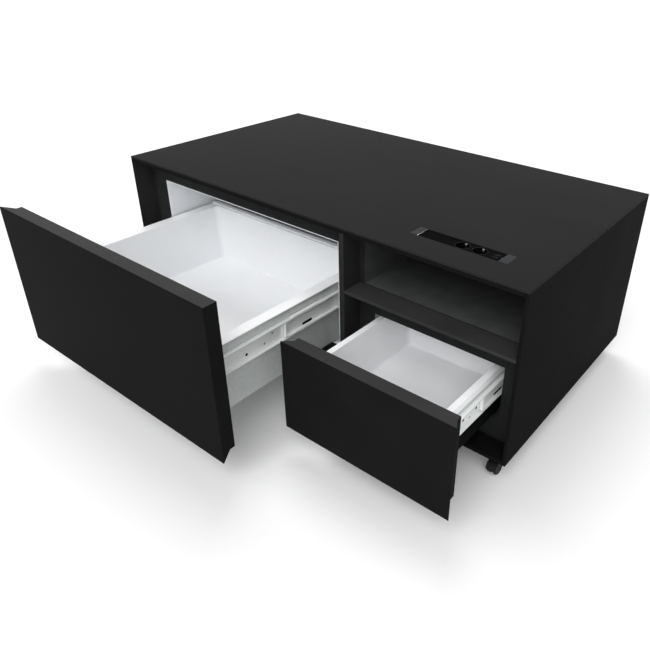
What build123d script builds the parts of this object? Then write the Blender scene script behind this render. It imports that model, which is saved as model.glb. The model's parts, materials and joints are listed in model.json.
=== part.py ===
from build123d import *
import os
from math import cos, radians, sin

os.makedirs("parts", exist_ok=True)

# Refrigerator coffee table: a cold drawer on the left, a storage drawer under an open niche on the right,
# a socket strip in the glass top and four casters. Both drawers stand open by the amounts below.
# Millimetres. X runs to the right, Y to the back, Z up. The origin is on the floor, in the middle of the
# footprint that the case and the open cold drawer cover.

# Case
case_width = 1300.0
case_depth = 700.0
case_height = 449.0
glass_thick = 5.0
top_thick = 9.0
side_thick = 9.0
bottom_thick = 10.0
divider_thick = 12.0
shelf_thick = 8.0
back_thick = 10.0
recess = 60.0
cold_bay_share = 0.63583
rear_foam = 68.6
machine_depth = 245.0
shelf_rise = 286.0
edge_break = 1.0
frame_thick = 2.0

# Drawer fronts
front_thick = 35.0
front_straight = 14.0
side_gap = 2.0
floor_gap = 2.0
finger_gap = 24.0
cold_open_share = 0.7828
store_open_share = 0.62
cold_left_bevel = 45.0
cold_bottom_bevel = 28.0
store_left_bevel = 23.0
store_right_bevel = 12.0
store_bottom_bevel = 34.0

# Cold compartment
cold_border_left = 61.0
cold_border_right = 56.5
cold_sill = 57.0
cold_head = 60.0
liner_wall = 3.0
liner_back_gap = 17.0
door_panel_thick = 12.0
gasket_width = 10.0
gasket_gap = 0.5
evaporator_sheet = 1.5
evaporator_bite = 0.5
evaporator_share = 0.8
evaporator_runs = 3

# Cold drawer box and tub
cold_box_lift = 6.0
box_wall = 1.0
box_radius = 8.0
cold_rim_height = 189.0
cold_rim_gap = 6.0
cold_tub_side = 31.5
cold_tub_end = 8.0
cold_tub_floor_lift = 6.0
cold_tub_radius = 16.0
tub_wall = 3.0
rim_thick = 3.0
tub_draft = 2.0
floor_radius = 6.0

# Telescopic slides
slide_width = 12.7
cold_slide_height = 50.0
store_slide_height = 45.0
slide_sheet = 1.2
cold_slide_start = 72.0
store_slide_start = 90.0
cold_slide_rear_gap = 32.4
store_slide_rear_gap = 5.0
middle_setback = 4.0
cold_slide_rise = 205.5
store_slide_rise = 160.0
channel_reach = 10.9
lip_drop = 1.5
middle_offset = 2.0
middle_reach = 10.5
fixed_reach = 7.7
race_radius = 1.9
race_bite = 0.4
front_ball_place = 5.0
rear_ball_place = 8.0
window_pitch = 20.0
windows_in_row = 4
cage_length = 86.0
cage_sheet = 0.4
cage_web_place = 1.4
rear_cage_web_place = 3.8
cage_strip = 1.0
front_cage_reach = 8.5
rear_cage_reach = 10.5
cage_window = 3.7
cold_cage_share = 0.26
store_cage_share = 0.37
access_hole = 7.0
cold_access_places = (76.0, 430.0)
cold_access_rise = -11.0
store_access_places = (40.0, 93.0)
store_access_rise = 14.0
slot_length = 36.0
slot_width = 8.0
slot_place = 76.0
slot_drop_share = 0.28
front_cage_share = 0.75
middle_share = 0.5
rear_cage_share = 0.25

# Storage bay and drawer
bay_border = 48.5
bay_sill = 57.0
bay_head = 65.0
bay_wall = 2.0
store_box_gap = 40.0
store_box_lift = 6.0
store_rim_gap = 5.0
store_skirt = 18.0
skirt_thick = 2.0
store_tub_side = 15.0
store_tub_end = 12.0
store_tub_floor_lift = 6.0
store_tub_radius = 18.0

# Niche
niche_border = 17.5
niche_sill = 3.0
niche_head = 15.0
niche_back_gap = 85.0

# Socket strip
strip_length = 250.0
strip_width = 44.0
strip_front = 81.0
strip_from_right = 92.0
strip_seat = 3.0
strip_flange = 1.0
strip_depth = 26.0
strip_play = 0.2
strip_cap = 22.0
strip_face = 2.0
socket_diameter = 34.0
socket_depth = 12.0
socket_pitch = 44.0
socket_inset = 78.0
pin_hole = 5.0
pin_pitch = 19.0
pin_depth = 6.0
usb_width = 13.2
usb_height = 5.8
usb_wall = 0.4
usb_depth = 12.0
usb_pitch = 12.0
usb_inset = 39.0
strip_cap_edge = 0.5

# Casters
caster_height = 60.0
caster_inset_x = 38.0
caster_inset_y = 40.0
caster_plate = 38.0
caster_plate_thick = 4.0
swivel_pin_radius = 4.0
swivel_play = 0.05
swivel_gap = 0.3
swivel_boss_radius = 9.0
wheel_radius = 18.0
wheel_width = 26.0
wheel_web = 8.0
wheel_round = 3.5
axle_radius = 2.5
axle_play = 0.05
fork_web = 6.0
hood_gap = 1.6
hood_thick = 2.2
caster_trail = 9.0

# Machine room behind the storage bay
compressor_radius = 62.0
compressor_height = 138.0
compressor_dome = 34.0
compressor_crown = 8.0
compressor_shoulder = 20.0
compressor_skirt = 26.0
compressor_place_x = 98.0
compressor_place_y = 118.0
foot_plate_width = 176.0
foot_plate_depth = 110.0
foot_plate_thick = 3.0
foot_radius = 12.0
foot_height = 14.0
foot_sides = 8
stub_radius = 4.0
stub_height = 22.0
stub_share = 0.5
loop_rise = 28.0
condenser_width = 132.0
condenser_depth = 34.0
condenser_height = 132.0
condenser_fin = 1.2
condenser_fins = 9
condenser_tube = 8.0
fan_size = 120.0
fan_depth = 25.0
fan_bore = 112.0
fan_hub = 38.0
fan_tip_gap = 2.5
fan_blades = 7
fan_blade_thick = 1.6
fan_blade_chord = 24.0
fan_blade_pitch = 34.0
fan_pin = 2.0
fan_place = 130.0
fan_to_condenser = 4.0
fan_to_back = 6.0
fan_web = 3.0
fan_strut = 6.0
full_turn = 360.0
machine_foot = 6.0
control_width = 120.0
control_depth = 34.0
control_height = 70.0
control_round = 4.0
control_place_x = 230.0
control_place_z = 60.0
line_radius = 3.0
line_bend = 22.0
line_bore_play = 0.4
line_sides = 6

# Rear
grille_width = 190.0
grille_height = 150.0
grille_thick = 3.0
grille_border = 10.0
grille_slot = 6.0
grille_slots = 9
inlet_width = 48.0
inlet_height = 28.0
inlet_body = 30.0
inlet_well_width = 25.0
inlet_well_height = 17.0
inlet_well_depth = 20.0
inlet_well_round = 4.0
inlet_pin_width = 2.0
inlet_pin_height = 5.0
inlet_pin_pitch = 7.0
inlet_place_x = 60.0
inlet_place_z = 60.0
overrun = 1.0

# Places worked out from the sizes
base = caster_height
left = -case_width / 2
right = case_width / 2
cold_slide_length = (case_depth - back_thick - rear_foam - liner_back_gap - cold_slide_rear_gap
                     - cold_slide_start)
store_slide_length = case_depth - back_thick - machine_depth - store_slide_rear_gap - store_slide_start
cold_travel = cold_slide_length
store_travel = store_slide_length
cold_open = cold_open_share * cold_travel
store_open = store_open_share * store_travel
front = (cold_open - case_depth) / 2
back = front + case_depth
top = base + case_height
board_top = top - glass_thick
ceiling = board_top - top_thick
deck = base + bottom_thick
shelf_top = base + shelf_rise
shelf_under = shelf_top - shelf_thick
cold_left = left + side_thick
cold_right = cold_left + cold_bay_share * (case_width - 2 * side_thick - divider_thick)
store_left = cold_right + divider_thick
store_right = right - side_thick
cold_middle = (cold_left + cold_right) / 2
frame_front = front + recess
frame_back = frame_front + frame_thick
back_inner = back - back_thick

mouth_left = cold_left + cold_border_left
mouth_right = cold_right - cold_border_right
mouth_low = deck + cold_sill
mouth_high = ceiling - cold_head
liner_left = mouth_left + liner_wall
liner_right = mouth_right - liner_wall
liner_low = mouth_low + liner_wall
liner_high = mouth_high - liner_wall

panel_front = front + front_thick
panel_back = panel_front + door_panel_thick
box_front = panel_back
liner_back = back_inner - rear_foam
box_back = liner_back - liner_back_gap
box_left = liner_left + slide_width
box_right = liner_right - slide_width
box_low = liner_low + cold_box_lift
rim_top = liner_low + cold_rim_height

bay_left = store_left + bay_border
bay_right = store_right - bay_border
bay_low = deck + bay_sill
bay_high = shelf_under - bay_head
bay_back = back_inner - machine_depth
store_box_left = bay_left + slide_width
store_box_right = bay_right - slide_width
store_box_low = bay_low + store_box_lift
store_rim_top = bay_high - store_rim_gap
store_box_front = front + front_thick
store_box_back = bay_back - store_box_gap

strip_right = right - strip_from_right
strip_left = strip_right - strip_length
strip_near = front + strip_front
strip_far = strip_near + strip_width

fixed_web = slide_width - slide_sheet
fixed_tip = slide_width - fixed_reach


def height_plane(z):
    """Level plane at a height; its sketches lie in X and Y."""
    return Plane.XY.offset(z)


def depth_plane(y):
    """Upright plane seen from the front; its sketches lie in X and Z and extrude towards the front."""
    return Plane.XZ.offset(-y)


def side_plane(x):
    """Upright plane seen from the right; its sketches lie in Y and Z and extrude to the right."""
    return Plane.YZ.offset(x)


def rect(a0, a1, b0, b1, mode=Mode.ADD):
    """Rectangle between four lines of the sketch plane."""
    with Locations(((a0 + a1) / 2, (b0 + b1) / 2)):
        Rectangle(abs(a1 - a0), abs(b1 - b0), mode=mode)


def keep(piece, name):
    """Label a finished piece and write it out under its name."""
    piece.part.label = name
    export_step(piece.part, "parts/" + name + ".step")


# The glass lies over everything, with a cut-out for the socket strip
with BuildPart() as top_glass:
    with BuildSketch(height_plane(board_top)):
        rect(left, right, front, back)
        rect(strip_left, strip_right, strip_near, strip_far, Mode.SUBTRACT)
    extrude(amount=glass_thick)
    chamfer(top_glass.faces().sort_by(Axis.Z)[-1].outer_wire().edges(), length=edge_break)
keep(top_glass, "top_glass")

with BuildPart() as top_board:
    with BuildSketch(height_plane(ceiling)):
        rect(cold_left, store_right, front, back)
        rect(strip_left + strip_seat, strip_right - strip_seat, strip_near + strip_seat,
             strip_far - strip_seat, Mode.SUBTRACT)
    extrude(amount=top_thick)
keep(top_board, "top_board")


def side_panel(x, name):
    """Side panel with its two front corners broken."""
    with BuildPart() as panel:
        with BuildSketch(height_plane(base)):
            rect(x, x + side_thick, front, back)
        extrude(amount=board_top - base)
        chamfer(panel.edges().filter_by(Axis.Z).group_by(Axis.Y)[0], length=edge_break)
    keep(panel, name)


side_panel(left, "side_panel_left")
side_panel(store_right, "side_panel_right")

with BuildPart() as bottom_board:
    with BuildSketch(height_plane(base)):
        rect(cold_left, store_right, front, back)
    extrude(amount=bottom_thick)
keep(bottom_board, "bottom_board")

# The suction line passes the divider through a bore near the back
plate_back = liner_back + liner_wall + evaporator_sheet
line_y = plate_back + line_radius - evaporator_bite
line_z = (liner_low + liner_high) / 2
with BuildPart() as divider:
    with BuildSketch(height_plane(deck)):
        rect(cold_right, store_left, front, back_inner)
    extrude(amount=ceiling - deck)
    with BuildSketch(side_plane(cold_right)):
        with Locations((line_y, line_z)):
            Circle(line_radius + line_bore_play)
    extrude(amount=divider_thick, mode=Mode.SUBTRACT)
keep(divider, "divider")

with BuildPart() as shelf:
    with BuildSketch(height_plane(shelf_under)):
        rect(store_left, store_right, front, back_inner)
    extrude(amount=shelf_thick)
    chamfer(shelf.edges().filter_by(Axis.X).group_by(Axis.Y)[0], length=edge_break)
keep(shelf, "shelf")

# Rear panel with the louvred grille in its opening and the mains inlet beside it
grille_right = store_right - fan_place + grille_width / 2
grille_left = grille_right - grille_width
grille_low = deck + machine_foot
grille_high = grille_low + grille_height
inlet_left = store_left + inlet_place_x
inlet_low = shelf_top + inlet_place_z
with BuildPart() as back_panel:
    with BuildSketch(depth_plane(back)):
        rect(cold_left, store_right, deck, ceiling)
        rect(grille_left, grille_right, grille_low, grille_high, Mode.SUBTRACT)
        rect(inlet_left, inlet_left + inlet_width, inlet_low, inlet_low + inlet_height, Mode.SUBTRACT)
    extrude(amount=back_thick)
keep(back_panel, "back_panel")

with BuildPart() as vent_grille:
    with BuildSketch(depth_plane(back)):
        rect(grille_left, grille_right, grille_low, grille_high)
        pitch = (grille_height - 2 * grille_border) / grille_slots
        for step in range(grille_slots):
            low = grille_low + grille_border + step * pitch + (pitch - grille_slot) / 2
            rect(grille_left + grille_border, grille_right - grille_border, low, low + grille_slot,
                 Mode.SUBTRACT)
    extrude(amount=grille_thick)
keep(vent_grille, "vent_grille")

with BuildPart() as mains_inlet:
    with BuildSketch(depth_plane(back)):
        rect(inlet_left, inlet_left + inlet_width, inlet_low, inlet_low + inlet_height)
    extrude(amount=inlet_body)
    inlet_x = inlet_left + inlet_width / 2
    inlet_z = inlet_low + inlet_height / 2
    with BuildSketch(depth_plane(back)):
        with Locations((inlet_x, inlet_z)):
            RectangleRounded(inlet_well_width, inlet_well_height, inlet_well_round)
            with Locations((-inlet_pin_pitch, 0), (0, 0), (inlet_pin_pitch, 0)):
                Rectangle(inlet_pin_width, inlet_pin_height, mode=Mode.SUBTRACT)
    extrude(amount=inlet_well_depth, mode=Mode.SUBTRACT)
keep(mains_inlet, "mains_inlet")

# Cold compartment: a black frame, a white liner whose edge shows as a lip, foam all round it
with BuildPart() as cold_frame:
    with BuildSketch(depth_plane(frame_back)):
        rect(cold_left, cold_right, deck, ceiling)
        rect(mouth_left, mouth_right, mouth_low, mouth_high, Mode.SUBTRACT)
    extrude(amount=frame_thick)
keep(cold_frame, "cold_frame")

with BuildPart() as cold_liner:
    with BuildSketch(depth_plane(liner_back + liner_wall)):
        rect(mouth_left, mouth_right, mouth_low, mouth_high)
    extrude(amount=liner_back + liner_wall - frame_front)
    with BuildSketch(depth_plane(liner_back)):
        rect(liner_left, liner_right, liner_low, liner_high)
    extrude(amount=liner_back - frame_front, mode=Mode.SUBTRACT)
    fillet(cold_liner.edges().filter_by(Axis.X).group_by(Axis.Y)[-2].sort_by(Axis.Z)[0], radius=floor_radius)
keep(cold_liner, "cold_liner")

evaporator_left = cold_middle - evaporator_share * (cold_middle - liner_left)
evaporator_right = cold_middle + evaporator_share * (liner_right - cold_middle)
evaporator_half = evaporator_share * (liner_high - liner_low) / 2
pocket_back = plate_back + 2 * line_radius
run_pitch = 2 * evaporator_half / evaporator_runs
with BuildPart() as evaporator:
    with BuildSketch(depth_plane(plate_back)):
        rect(evaporator_left, evaporator_right, line_z - evaporator_half, line_z + evaporator_half)
    extrude(amount=evaporator_sheet)
    with BuildSketch(side_plane(evaporator_left + run_pitch)):
        for step in range(evaporator_runs):
            with Locations((line_y, line_z + (step - (evaporator_runs - 1) / 2) * run_pitch)):
                RegularPolygon(line_radius, line_sides)
    extrude(amount=evaporator_right - evaporator_left - run_pitch)
keep(evaporator, "evaporator")

with BuildPart() as cold_foam:
    with BuildSketch(depth_plane(back_inner)):
        rect(cold_left, cold_right, deck, ceiling)
    extrude(amount=back_inner - frame_back)
    with BuildSketch(depth_plane(liner_back + liner_wall)):
        rect(mouth_left, mouth_right, mouth_low, mouth_high)
    extrude(amount=liner_back + liner_wall - frame_back, mode=Mode.SUBTRACT)
    with BuildSketch(depth_plane(pocket_back)):
        rect(evaporator_left, evaporator_right, line_z - evaporator_half, line_z + evaporator_half)
    extrude(amount=pocket_back - liner_back - liner_wall, mode=Mode.SUBTRACT)
    with BuildSketch(side_plane(evaporator_right)):
        with Locations((line_y, line_z)):
            Circle(line_radius + line_bore_play)
    extrude(amount=cold_right - evaporator_right, mode=Mode.SUBTRACT)
keep(cold_foam, "cold_foam")

# Open niche over the storage drawer: one folded sheet, flanged at the front
with BuildPart() as niche_box:
    with BuildSketch(depth_plane(frame_back)):
        rect(store_left, store_right, shelf_top, ceiling)
    extrude(amount=frame_thick)
    niche_left = store_left + niche_border
    niche_right = store_right - niche_border
    niche_low = shelf_top + niche_sill
    niche_high = ceiling - niche_head
    niche_back = bay_back - niche_back_gap
    with BuildSketch(depth_plane(niche_back + bay_wall)):
        rect(niche_left - bay_wall, niche_right + bay_wall, niche_low - bay_wall, niche_high + bay_wall)
    extrude(amount=niche_back + bay_wall - frame_back)
    with BuildSketch(depth_plane(niche_back)):
        rect(niche_left, niche_right, niche_low, niche_high)
    extrude(amount=niche_back - frame_front, mode=Mode.SUBTRACT)
keep(niche_box, "niche_box")

# Storage bay: black frame, and a galvanised sheet folded round its sides and back
with BuildPart() as bay_frame:
    with BuildSketch(depth_plane(frame_back)):
        rect(store_left, store_right, deck, shelf_under)
        rect(bay_left, bay_right, bay_low, bay_high, Mode.SUBTRACT)
    extrude(amount=frame_thick)
keep(bay_frame, "bay_frame")

with BuildPart() as bay_sheet:
    with BuildSketch(height_plane(deck)):
        rect(bay_left - bay_wall, bay_right + bay_wall, frame_back, bay_back + bay_wall)
        rect(bay_left, bay_right, frame_back, bay_back, Mode.SUBTRACT)
    extrude(amount=shelf_under - deck)
keep(bay_sheet, "bay_sheet")


def drawer_front(x0, x1, z0, z1, slide, left_bevel, right_bevel, bottom_bevel, name):
    """Front with a flat top edge and bevels behind its other edges, pulled forward by the slide amount."""
    y0 = front - slide
    y1 = y0 + front_thick
    y_bevel = y1 - front_straight
    with BuildPart() as panel:
        with BuildSketch(height_plane(z0)):
            with BuildLine():
                Polyline((x0, y0), (x1, y0), (x1 - right_bevel, y_bevel), (x1 - right_bevel, y1),
                         (x0 + left_bevel, y1), (x0 + left_bevel, y_bevel), close=True)
            make_face()
        extrude(amount=z1 - z0)
        with BuildSketch(side_plane(x0)):
            with BuildLine():
                Polyline((y0, z0), (y0, z1), (y1, z1), (y1, z0 + bottom_bevel),
                         (y_bevel, z0 + bottom_bevel), close=True)
            make_face()
        extrude(amount=x1 - x0, mode=Mode.INTERSECT)
        chamfer(panel.faces().sort_by(Axis.Y)[0].edges().sort_by(Axis.Z)[-1], length=edge_break)
    keep(panel, name)


drawer_front(cold_left + side_gap, cold_right - side_gap, deck + floor_gap, ceiling - finger_gap,
             cold_open, cold_left_bevel, 0, cold_bottom_bevel, "cold_drawer_front")
drawer_front(store_left + side_gap, store_right - side_gap, deck + floor_gap, shelf_under - finger_gap,
             store_open, store_left_bevel, store_right_bevel, store_bottom_bevel, "store_drawer_front")

# Inner panel of the cold drawer and the gasket that closes on the frame
with BuildPart() as door_panel:
    with BuildSketch(depth_plane(panel_back - cold_open)):
        rect(mouth_left - gasket_width, mouth_right + gasket_width, mouth_low - gasket_width,
             mouth_high + gasket_width)
    extrude(amount=door_panel_thick)
keep(door_panel, "door_panel")

with BuildPart() as gasket:
    with BuildSketch(depth_plane(frame_front - gasket_gap - cold_open)):
        rect(mouth_left - gasket_width, mouth_right + gasket_width, mouth_low - gasket_width,
             mouth_high + gasket_width)
        rect(mouth_left, mouth_right, mouth_low, mouth_high, Mode.SUBTRACT)
    extrude(amount=recess - front_thick - door_panel_thick - gasket_gap)
keep(gasket, "gasket")


def drawer_box(x0, x1, y0, y1, z0, z1, name):
    """Sheet box, open on top and rounded along its long lower edges."""
    with BuildPart() as box:
        with BuildSketch(height_plane(z0)):
            rect(x0, x1, y0, y1)
        extrude(amount=z1 - z0)
        fillet(box.faces().sort_by(Axis.Z)[0].edges().filter_by(Axis.Y), radius=box_radius)
        offset(amount=-box_wall, openings=box.faces().sort_by(Axis.Z)[-1])
    keep(box, name)


def tub(x0, x1, y0, y1, rim, skirt, floor_z, side, end, corner, name):
    """Moulded tub: a flat rim, turned down by the skirt, and a drafted basin with a rounded floor."""
    depth = rim - floor_z
    with BuildPart() as shell:
        with BuildSketch(height_plane(rim)):
            rect(x0, x1, y0, y1)
        extrude(amount=-rim_thick)
        if skirt > rim_thick:
            with BuildSketch(height_plane(rim)):
                rect(x0, x1, y0, y1)
                rect(x0 + skirt_thick, x1 - skirt_thick, y0 + skirt_thick, y1 - skirt_thick, Mode.SUBTRACT)
            extrude(amount=-skirt)
        middle = ((x0 + x1) / 2, (y0 + y1) / 2)
        basin_width = x1 - x0 - 2 * side
        basin_depth = y1 - y0 - 2 * end
        with BuildSketch(height_plane(rim)):
            with Locations(middle):
                RectangleRounded(basin_width + 2 * tub_wall, basin_depth + 2 * tub_wall, corner + tub_wall)
        extrude(amount=-(depth + tub_wall), taper=tub_draft)
        with BuildSketch(height_plane(rim)):
            with Locations(middle):
                RectangleRounded(basin_width, basin_depth, corner)
        extrude(amount=-depth, taper=tub_draft, mode=Mode.SUBTRACT)
        fillet(shell.faces().filter_by(Axis.Z).sort_by(Axis.Z)[1].edges(), radius=floor_radius)
    keep(shell, name)


cold_slide_z = base + cold_slide_rise
drawer_box(box_left, box_right, box_front - cold_open, box_back - cold_open, box_low, rim_top - rim_thick,
           "cold_drawer_box")
tub(liner_left + cold_rim_gap, liner_right - cold_rim_gap, box_front - cold_open, box_back - cold_open,
    rim_top, rim_thick, box_low + cold_tub_floor_lift, cold_tub_side, cold_tub_end, cold_tub_radius,
    "cold_drawer_tub")

store_slide_z = base + store_slide_rise
drawer_box(store_box_left, store_box_right, store_box_front - store_open, store_box_back - store_open,
           store_box_low, store_rim_top - store_skirt, "store_drawer_box")
tub(store_box_left, store_box_right, store_box_front - store_open, store_box_back - store_open,
    store_rim_top, store_skirt, store_box_low + store_tub_floor_lift, store_tub_side, store_tub_end,
    store_tub_radius, "store_drawer_tub")


def slide_levels(half):
    """Heights above the slide's middle line, worked inwards from the flange of the drawer member."""
    channel_inner = half - slide_sheet
    front_row = channel_inner + race_bite - race_radius
    middle_half = front_row - race_radius + race_bite
    middle_inner = middle_half - slide_sheet
    rear_row = middle_inner + race_bite - race_radius
    fixed_half = rear_row - race_radius + race_bite
    return channel_inner, front_row, middle_half, middle_inner, rear_row, fixed_half


def channel_profile(x, hand, z, half):
    """Drawer member: a wide C whose flanges carry the outer ball races and end in small lips."""
    inner, front_row, *_ = slide_levels(half)
    rect(x, x + hand * slide_sheet, z - half, z + half)
    for sign in (-1, 1):
        rect(x, x + hand * channel_reach, z + sign * inner, z + sign * half)
        rect(x + hand * (channel_reach - slide_sheet), x + hand * channel_reach,
             z + sign * (inner - lip_drop), z + sign * inner)
        with Locations((x + hand * front_ball_place, z + sign * front_row)):
            Circle(race_radius, mode=Mode.SUBTRACT)


def middle_profile(x, hand, z, half):
    """Middle member: a C with a race outside and a race inside each flange."""
    _, front_row, outer, inner, rear_row, _ = slide_levels(half)
    rect(x + hand * middle_offset, x + hand * (middle_offset + slide_sheet), z - outer, z + outer)
    for sign in (-1, 1):
        rect(x + hand * middle_offset, x + hand * middle_reach, z + sign * inner, z + sign * outer)
        with Locations((x + hand * front_ball_place, z + sign * front_row),
                       (x + hand * rear_ball_place, z + sign * rear_row)):
            Circle(race_radius, mode=Mode.SUBTRACT)


def fixed_profile(x, hand, z, half):
    """Fixed member: a narrow C that faces the drawer, with the inner races outside its flanges."""
    *_, rear_row, outer = slide_levels(half)
    rect(x + hand * fixed_web, x + hand * slide_width, z - outer, z + outer)
    for sign in (-1, 1):
        rect(x + hand * fixed_tip, x + hand * slide_width, z + sign * (outer - slide_sheet),
             z + sign * outer)
        with Locations((x + hand * rear_ball_place, z + sign * rear_row)):
            Circle(race_radius, mode=Mode.SUBTRACT)


def slide_members(profile, sides, z, half, start, end, round_holes, slots, name):
    """The same rolled member on both sides of a drawer, with its round holes and slots."""
    with BuildPart() as members:
        with BuildSketch(depth_plane(end)):
            for x, hand in sides:
                profile(x, hand, z, half)
        extrude(amount=end - start)
        x_left, x_right = (x for x, hand in sides)
        if round_holes or slots:
            with BuildSketch(side_plane((x_left + x_right) / 2)):
                for place, rise, diameter in round_holes:
                    with Locations((start + place, z + rise)):
                        Circle(diameter / 2)
                for place, rise in slots:
                    with Locations((start + place, z + rise)):
                        SlotOverall(slot_length, slot_width)
            extrude(amount=(x_right - x_left) / 2 + slide_width, both=True, mode=Mode.SUBTRACT)
    keep(members, name)


def ball_cages(sides, z, start, web, reach, place, row, name):
    """Folded cages of both sides: a web between the members and a windowed strip along each ball row."""
    with BuildPart() as cages:
        with BuildSketch(depth_plane(start + cage_length)):
            for x, hand in sides:
                rect(x + hand * web, x + hand * (web + cage_sheet), z - row, z + row)
                for sign in (-1, 1):
                    rect(x + hand * web, x + hand * reach, z + sign * row - cage_strip / 2,
                         z + sign * row + cage_strip / 2)
        extrude(amount=cage_length)
        with BuildSketch(height_plane(z)):
            for x, hand in sides:
                with Locations((x + hand * place, start + cage_length / 2)):
                    with GridLocations(0, window_pitch, 1, windows_in_row):
                        Rectangle(cage_window, cage_window)
        extrude(amount=row + cage_strip, both=True, mode=Mode.SUBTRACT)
    keep(cages, name)


def slide_set(x_left, x_right, z, height, start, length, opened, cage_share, access_places, access_rise,
              name):
    """The two telescopic slides of one drawer, run out by the opened amount."""
    sides = ((x_left, -1), (x_right, 1))
    half = height / 2
    first = front + start
    drawer_start = first - opened
    middle_start = first - middle_share * opened
    slide_members(channel_profile, sides, z, half, drawer_start, drawer_start + length,
                  [(place, access_rise, access_hole) for place in access_places], (), name + "_slide_drawer")
    slide_members(middle_profile, sides, z, half, middle_start + middle_setback, middle_start + length,
                  (), ((slot_place, -slot_drop_share * height),), name + "_slide_middle")
    slide_members(fixed_profile, sides, z, half, first, first + length, (), (), name + "_slide_fixed")
    _, front_row, _, _, rear_row, _ = slide_levels(half)
    cage_place = first + cage_share * length
    ball_cages(sides, z, cage_place - front_cage_share * opened, cage_web_place, front_cage_reach,
               front_ball_place, front_row, name + "_front_cages")
    ball_cages(sides, z, cage_place - rear_cage_share * opened, rear_cage_web_place,
               rear_cage_reach, rear_ball_place, rear_row, name + "_rear_cages")


slide_set(box_left, box_right, cold_slide_z, cold_slide_height, cold_slide_start, cold_slide_length,
          cold_open, cold_cage_share, cold_access_places, cold_access_rise, "cold")
slide_set(store_box_left, store_box_right, store_slide_z, store_slide_height, store_slide_start,
          store_slide_length, store_open, store_cage_share, store_access_places, store_access_rise, "store")

# Socket strip: a body let through the board, a sunk face, bright end caps and the metal USB shells
strip_middle = (strip_near + strip_far) / 2
flange_top = board_top + strip_flange
body_low = top - strip_depth
sockets = [(strip_right - socket_inset - step * socket_pitch, strip_middle) for step in (1, 0)]
usb_ports = [(strip_right - usb_inset, strip_middle + sign * usb_pitch / 2) for sign in (-1, 1)]
with BuildPart() as strip_body:
    with BuildSketch(height_plane(board_top)):
        rect(strip_left + strip_play, strip_right - strip_play, strip_near + strip_play,
             strip_far - strip_play)
    extrude(amount=strip_flange)
    with BuildSketch(height_plane(body_low)):
        rect(strip_left + strip_seat + strip_play, strip_right - strip_seat - strip_play,
             strip_near + strip_seat + strip_play, strip_far - strip_seat - strip_play)
    extrude(amount=board_top - body_low)
    with BuildSketch(height_plane(flange_top)):
        with Locations(*sockets):
            Circle(socket_diameter / 2)
    extrude(amount=-socket_depth, mode=Mode.SUBTRACT)
    with BuildSketch(height_plane(flange_top - socket_depth)):
        for x, y in sockets:
            with Locations((x - pin_pitch / 2, y), (x + pin_pitch / 2, y)):
                Circle(pin_hole / 2)
    extrude(amount=-pin_depth, mode=Mode.SUBTRACT)
    with BuildSketch(height_plane(flange_top)):
        with Locations(*usb_ports):
            Rectangle(usb_width, usb_height)
    extrude(amount=-usb_depth, mode=Mode.SUBTRACT)
keep(strip_body, "strip_body")

with BuildPart() as strip_face_plate:
    with BuildSketch(height_plane(flange_top)):
        rect(strip_left + strip_cap, strip_right - strip_cap, strip_near + strip_play,
             strip_far - strip_play)
        with Locations(*sockets):
            Circle(socket_diameter / 2, mode=Mode.SUBTRACT)
        with Locations(*usb_ports):
            Rectangle(usb_width, usb_height, mode=Mode.SUBTRACT)
    extrude(amount=strip_face)
keep(strip_face_plate, "strip_face")

with BuildPart() as strip_caps:
    with BuildSketch(height_plane(flange_top)):
        for start, end in ((strip_left + strip_play, strip_left + strip_cap),
                           (strip_right - strip_cap, strip_right - strip_play)):
            rect(start, end, strip_near + strip_play, strip_far - strip_play)
    extrude(amount=top - flange_top)
    chamfer(strip_caps.faces().group_by(Axis.Z)[-1].edges(), length=strip_cap_edge)
keep(strip_caps, "strip_caps")

with BuildPart() as usb_shells:
    with BuildSketch(height_plane(flange_top - usb_depth)):
        with Locations(*usb_ports):
            Rectangle(usb_width, usb_height)
        with Locations(*usb_ports):
            Rectangle(usb_width - 2 * usb_wall, usb_height - 2 * usb_wall, mode=Mode.SUBTRACT)
    extrude(amount=usb_depth + strip_face)
keep(usb_shells, "usb_shells")

# Casters: a plate under each corner, a hooded fork that swivels, twin wheels on one axle
corners = [(x, y) for y in (front + caster_inset_y, back - caster_inset_y)
           for x in (left + caster_inset_x, right - caster_inset_x)]
names = ("front_left", "front_right", "rear_left", "rear_right")
plate_under = base - caster_plate_thick
with BuildPart() as caster_plates:
    with BuildSketch(height_plane(plate_under)):
        with Locations(*corners):
            Rectangle(caster_plate, caster_plate)
            Circle(swivel_pin_radius + swivel_play, mode=Mode.SUBTRACT)
    extrude(amount=caster_plate_thick)
keep(caster_plates, "caster_plates")

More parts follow.
